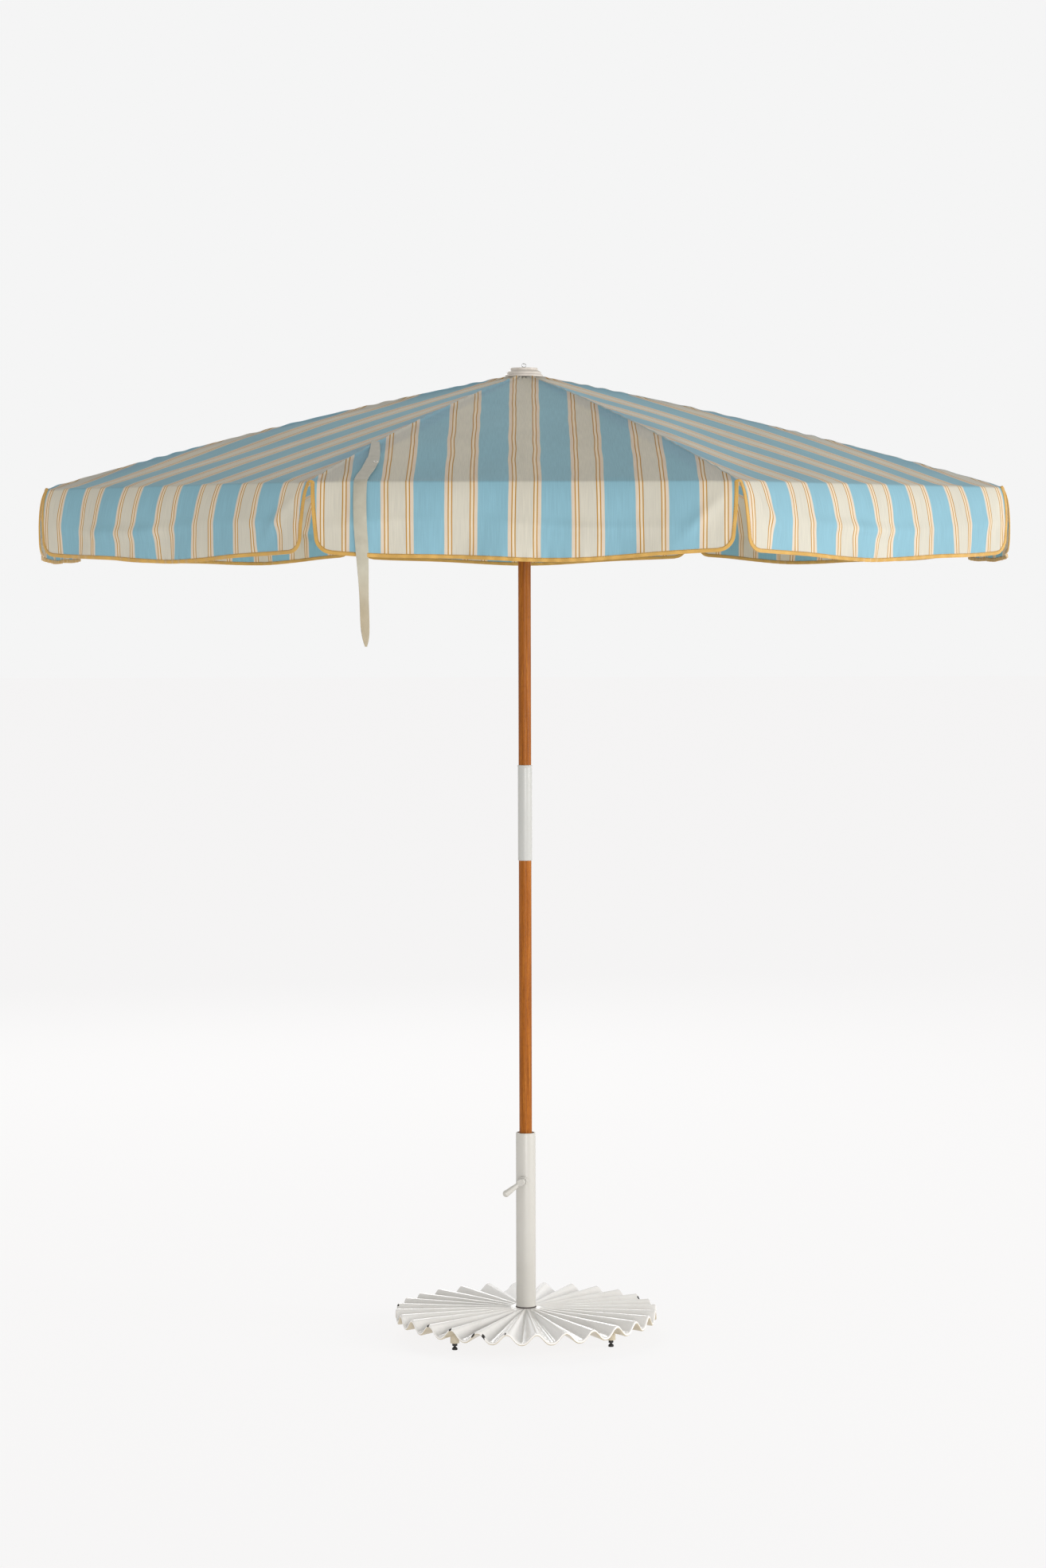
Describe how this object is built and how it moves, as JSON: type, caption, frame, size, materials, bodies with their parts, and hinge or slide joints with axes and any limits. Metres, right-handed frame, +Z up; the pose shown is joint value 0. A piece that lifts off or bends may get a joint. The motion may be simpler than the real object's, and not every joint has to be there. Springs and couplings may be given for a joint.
{
  "type": "beach umbrella",
  "caption": "Octagonal striped canvas umbrella with a hanging valance, folding ribs, a two-piece wooden pole and a fluted round base with a clamp.",
  "frame": {"origin": "on the ground at the axis of the pole", "axes": "+Z up along the pole, -Y towards the front panel, which the tie strap hangs on"},
  "size_m": [2.2224, 2.225, 2.3804],
  "materials": {
    "enamelled_iron": "gloss enamel over cast iron, chipped",
    "painted_steel": "semi-gloss paint",
    "zinc_steel": "zinc plated",
    "oiled_wood": "oiled and varnished hardwood",
    "black_rubber": "matte",
    "black_plastic": "moulded",
    "aluminium_casting": "sand cast, satin",
    "turned_cap": "matt lacquer",
    "canopy_cloth": "woven stripe canvas",
    "strap_webbing": "cotton webbing"
  },
  "bodies": {
    "base": {"base_casting": "enamelled_iron", "foot_lugs": "enamelled_iron", "base_tube": "painted_steel", "tube_plug": "zinc_steel", "tube_gasket": "black_rubber", "anchor_bolt": "zinc_steel", "clamp_boss": "painted_steel", "pole_bush": "black_plastic"},
    "clamp": {"clamp_lever": "painted_steel", "clamp_pad": "zinc_steel"},
    "lower_pole": {"lower_pole": "oiled_wood", "pole_sleeve": "painted_steel", "sleeve_screws": "zinc_steel"},
    "upper_pole": {"upper_pole": "oiled_wood", "crown": "aluminium_casting", "crown_pins": "zinc_steel", "finial_cap": "turned_cap", "finial_eye": "zinc_steel"},
    "runner": {"runner": "aluminium_casting", "runner_pins": "zinc_steel"},
    "runner_knob": {"runner_knob": "black_plastic"},
    "foot_1": {"foot_1": "black_rubber"},
    "foot_2": {"foot_2": "black_rubber"},
    "foot_3": {"foot_3": "black_rubber"},
    "foot_4": {"foot_4": "black_rubber"},
    "rib_1": {"rib_1": "painted_steel", "canopy_gore_1": "canopy_cloth"},
    "strut_1": {"strut_1": "painted_steel"},
    "valance_1": {"valance_1": "canopy_cloth"},
    "rib_2": {"rib_2": "painted_steel", "canopy_gore_2": "canopy_cloth"},
    "strut_2": {"strut_2": "painted_steel"},
    "valance_2": {"valance_2": "canopy_cloth"},
    "rib_3": {"rib_3": "painted_steel", "canopy_gore_3": "canopy_cloth"},
    "strut_3": {"strut_3": "painted_steel"},
    "valance_3": {"valance_3": "canopy_cloth"},
    "rib_4": {"rib_4": "painted_steel", "canopy_gore_4": "canopy_cloth"},
    "strut_4": {"strut_4": "painted_steel"},
    "valance_4": {"valance_4": "canopy_cloth"},
    "rib_5": {"rib_5": "painted_steel", "canopy_gore_5": "canopy_cloth"},
    "strut_5": {"strut_5": "painted_steel"},
    "valance_5": {"valance_5": "canopy_cloth"},
    "rib_6": {"rib_6": "painted_steel", "canopy_gore_6": "canopy_cloth"},
    "strut_6": {"strut_6": "painted_steel"},
    "valance_6": {"valance_6": "canopy_cloth"},
    "rib_7": {"rib_7": "painted_steel", "canopy_gore_7": "canopy_cloth"},
    "strut_7": {"strut_7": "painted_steel"},
    "valance_7": {"valance_7": "canopy_cloth"},
    "rib_8": {"rib_8": "painted_steel", "canopy_gore_8": "canopy_cloth"},
    "strut_8": {"strut_8": "painted_steel"},
    "valance_8": {"valance_8": "canopy_cloth"},
    "strap_upper": {"strap_upper": "strap_webbing"},
    "strap_lower": {"strap_lower": "strap_webbing"}
  },
  "joints": [
    {"name": "clamp_turn", "type": "hinge", "parent": "base", "child": "clamp", "pos_m": [-0.009, -0.03898, 0.381], "axis": [-0.225, -0.9744, 0], "range_deg": [-90, 180]},
    {"name": "foot_1_turn", "type": "hinge", "parent": "base", "child": "foot_1", "pos_m": [0.17227, 0.2053, 0.02], "axis": [0, 0, 1], "continuous": true},
    {"name": "foot_2_turn", "type": "hinge", "parent": "base", "child": "foot_2", "pos_m": [-0.2053, 0.17227, 0.02], "axis": [0, 0, 1], "continuous": true},
    {"name": "foot_3_turn", "type": "hinge", "parent": "base", "child": "foot_3", "pos_m": [-0.17227, -0.2053, 0.02], "axis": [0, 0, 1], "continuous": true},
    {"name": "foot_4_turn", "type": "hinge", "parent": "base", "child": "foot_4", "pos_m": [0.2053, -0.17227, 0.02], "axis": [0, 0, 1], "continuous": true},
    {"name": "pole_lift", "type": "slide", "parent": "base", "child": "lower_pole", "axis": [0, 0, 1], "range_m": [0, 0.35]},
    {"name": "canopy_turn", "type": "hinge", "parent": "lower_pole", "child": "upper_pole", "pos_m": [0, 0, 1.285], "axis": [0, 0, 1], "continuous": true},
    {"name": "rib_1_fold", "type": "hinge", "parent": "upper_pole", "child": "rib_1", "pos_m": [-0.01148, -0.02772, 2.33985], "axis": [0.9239, -0.3827, 0], "range_deg": [0, 72], "deforming": ["canopy_gore_1"]},
    {"name": "rib_2_fold", "type": "hinge", "parent": "upper_pole", "child": "rib_2", "pos_m": [0.01148, -0.02772, 2.33985], "axis": [0.9239, 0.3827, 0], "range_deg": [0, 72], "deforming": ["canopy_gore_2"]},
    {"name": "rib_3_fold", "type": "hinge", "parent": "upper_pole", "child": "rib_3", "pos_m": [0.02772, -0.01148, 2.33985], "axis": [0.3827, 0.9239, 0], "range_deg": [0, 72], "deforming": ["canopy_gore_3"]},
    {"name": "rib_4_fold", "type": "hinge", "parent": "upper_pole", "child": "rib_4", "pos_m": [0.02772, 0.01148, 2.33985], "axis": [-0.3827, 0.9239, 0], "range_deg": [0, 72], "deforming": ["canopy_gore_4"]},
    {"name": "rib_5_fold", "type": "hinge", "parent": "upper_pole", "child": "rib_5", "pos_m": [0.01148, 0.02772, 2.33985], "axis": [-0.9239, 0.3827, 0], "range_deg": [0, 72], "deforming": ["canopy_gore_5"]},
    {"name": "rib_6_fold", "type": "hinge", "parent": "upper_pole", "child": "rib_6", "pos_m": [-0.01148, 0.02772, 2.33985], "axis": [-0.9239, -0.3827, 0], "range_deg": [0, 72], "deforming": ["canopy_gore_6"]},
    {"name": "rib_7_fold", "type": "hinge", "parent": "upper_pole", "child": "rib_7", "pos_m": [-0.02772, 0.01148, 2.33985], "axis": [-0.3827, -0.9239, 0], "range_deg": [0, 72], "deforming": ["canopy_gore_7"]},
    {"name": "rib_8_fold", "type": "hinge", "parent": "upper_pole", "child": "rib_8", "pos_m": [-0.02772, -0.01148, 2.33985], "axis": [0.3827, -0.9239, 0], "range_deg": [0, 72], "deforming": ["canopy_gore_8"]},
    {"name": "strut_1_fold", "type": "hinge", "parent": "rib_1", "child": "strut_1", "pos_m": [-0.17886, -0.4318, 2.23404], "axis": [-0.9239, 0.3827, 0], "range_deg": [0, 144]},
    {"name": "strut_2_fold", "type": "hinge", "parent": "rib_2", "child": "strut_2", "pos_m": [0.17886, -0.4318, 2.23404], "axis": [-0.9239, -0.3827, 0], "range_deg": [0, 144]},
    {"name": "strut_3_fold", "type": "hinge", "parent": "rib_3", "child": "strut_3", "pos_m": [0.4318, -0.17886, 2.23404], "axis": [-0.3827, -0.9239, 0], "range_deg": [0, 144]},
    {"name": "strut_4_fold", "type": "hinge", "parent": "rib_4", "child": "strut_4", "pos_m": [0.4318, 0.17886, 2.23404], "axis": [0.3827, -0.9239, 0], "range_deg": [0, 144]},
    {"name": "strut_5_fold", "type": "hinge", "parent": "rib_5", "child": "strut_5", "pos_m": [0.17886, 0.4318, 2.23404], "axis": [0.9239, -0.3827, 0], "range_deg": [0, 144]},
    {"name": "strut_6_fold", "type": "hinge", "parent": "rib_6", "child": "strut_6", "pos_m": [-0.17886, 0.4318, 2.23404], "axis": [0.9239, 0.3827, 0], "range_deg": [0, 144]},
    {"name": "strut_7_fold", "type": "hinge", "parent": "rib_7", "child": "strut_7", "pos_m": [-0.4318, 0.17886, 2.23404], "axis": [0.3827, 0.9239, 0], "range_deg": [0, 144]},
    {"name": "strut_8_fold", "type": "hinge", "parent": "rib_8", "child": "strut_8", "pos_m": [-0.4318, -0.17886, 2.23404], "axis": [-0.3827, 0.9239, 0], "range_deg": [0, 144]},
    {"name": "runner_slide_link", "type": "hinge", "parent": "strut_1", "child": "runner", "pos_m": [-0.01148, -0.02772, 2.12822], "axis": [0.9239, -0.3827, 0], "range_deg": [0, 72]},
    {"name": "runner_knob_turn", "type": "hinge", "parent": "runner", "child": "runner_knob", "pos_m": [0, -0.03, 2.10522], "axis": [0, -1, 0], "continuous": true},
    {"name": "valance_1_hang", "type": "hinge", "parent": "rib_1", "child": "valance_1", "pos_m": [-0.45922, -1.10865, 2.064], "axis": [-0.9239, 0.3827, 0], "range_deg": [0, 72], "deforming": ["valance_1"]},
    {"name": "valance_2_hang", "type": "hinge", "parent": "rib_2", "child": "valance_2", "pos_m": [0.45922, -1.10865, 2.064], "axis": [-0.9239, -0.3827, 0], "range_deg": [0, 72], "deforming": ["valance_2"]},
    {"name": "valance_3_hang", "type": "hinge", "parent": "rib_3", "child": "valance_3", "pos_m": [1.10865, -0.45922, 2.064], "axis": [-0.3827, -0.9239, 0], "range_deg": [0, 72], "deforming": ["valance_3"]},
    {"name": "valance_4_hang", "type": "hinge", "parent": "rib_4", "child": "valance_4", "pos_m": [1.10865, 0.45922, 2.064], "axis": [0.3827, -0.9239, 0], "range_deg": [0, 72], "deforming": ["valance_4"]},
    {"name": "valance_5_hang", "type": "hinge", "parent": "rib_5", "child": "valance_5", "pos_m": [0.45922, 1.10865, 2.064], "axis": [0.9239, -0.3827, 0], "range_deg": [0, 72], "deforming": ["valance_5"]},
    {"name": "valance_6_hang", "type": "hinge", "parent": "rib_6", "child": "valance_6", "pos_m": [-0.45922, 1.10865, 2.064], "axis": [0.9239, 0.3827, 0], "range_deg": [0, 72], "deforming": ["valance_6"]},
    {"name": "valance_7_hang", "type": "hinge", "parent": "rib_7", "child": "valance_7", "pos_m": [-1.10865, 0.45922, 2.064], "axis": [0.3827, 0.9239, 0], "range_deg": [0, 72], "deforming": ["valance_7"]},
    {"name": "valance_8_hang", "type": "hinge", "parent": "rib_8", "child": "valance_8", "pos_m": [-1.10865, -0.45922, 2.064], "axis": [-0.3827, 0.9239, 0], "range_deg": [0, 72], "deforming": ["valance_8"]},
    {"name": "strap_swing", "type": "hinge", "parent": "rib_1", "child": "strap_upper", "pos_m": [-0.338, -0.816, 2.15261], "axis": [0, 0.2851, -0.9585], "range_deg": [0, 30], "deforming": ["strap_upper"]},
    {"name": "strap_hang", "type": "hinge", "parent": "strap_upper", "child": "strap_lower", "pos_m": [-0.338, -1.11065, 2.064], "axis": [-1, 0, 0], "range_deg": [0, 72], "deforming": ["strap_lower"]}
  ],
  "couplings": [
    {"joint": "rib_2_fold", "follows": "rib_1_fold", "ratio": 1},
    {"joint": "rib_3_fold", "follows": "rib_1_fold", "ratio": 1},
    {"joint": "rib_4_fold", "follows": "rib_1_fold", "ratio": 1},
    {"joint": "rib_5_fold", "follows": "rib_1_fold", "ratio": 1},
    {"joint": "rib_6_fold", "follows": "rib_1_fold", "ratio": 1},
    {"joint": "rib_7_fold", "follows": "rib_1_fold", "ratio": 1},
    {"joint": "rib_8_fold", "follows": "rib_1_fold", "ratio": 1},
    {"joint": "strut_1_fold", "follows": "rib_1_fold", "ratio": 2},
    {"joint": "strut_2_fold", "follows": "rib_1_fold", "ratio": 2},
    {"joint": "strut_3_fold", "follows": "rib_1_fold", "ratio": 2},
    {"joint": "strut_4_fold", "follows": "rib_1_fold", "ratio": 2},
    {"joint": "strut_5_fold", "follows": "rib_1_fold", "ratio": 2},
    {"joint": "strut_6_fold", "follows": "rib_1_fold", "ratio": 2},
    {"joint": "strut_7_fold", "follows": "rib_1_fold", "ratio": 2},
    {"joint": "strut_8_fold", "follows": "rib_1_fold", "ratio": 2},
    {"joint": "runner_slide_link", "follows": "rib_1_fold", "ratio": 1},
    {"joint": "valance_1_hang", "follows": "rib_1_fold", "ratio": 1},
    {"joint": "valance_2_hang", "follows": "rib_1_fold", "ratio": 1},
    {"joint": "valance_3_hang", "follows": "rib_1_fold", "ratio": 1},
    {"joint": "valance_4_hang", "follows": "rib_1_fold", "ratio": 1},
    {"joint": "valance_5_hang", "follows": "rib_1_fold", "ratio": 1},
    {"joint": "valance_6_hang", "follows": "rib_1_fold", "ratio": 1},
    {"joint": "valance_7_hang", "follows": "rib_1_fold", "ratio": 1},
    {"joint": "valance_8_hang", "follows": "rib_1_fold", "ratio": 1},
    {"joint": "strap_swing", "follows": "rib_1_fold", "ratio": 0.3008},
    {"joint": "strap_hang", "follows": "rib_1_fold", "ratio": 1}
  ]
}
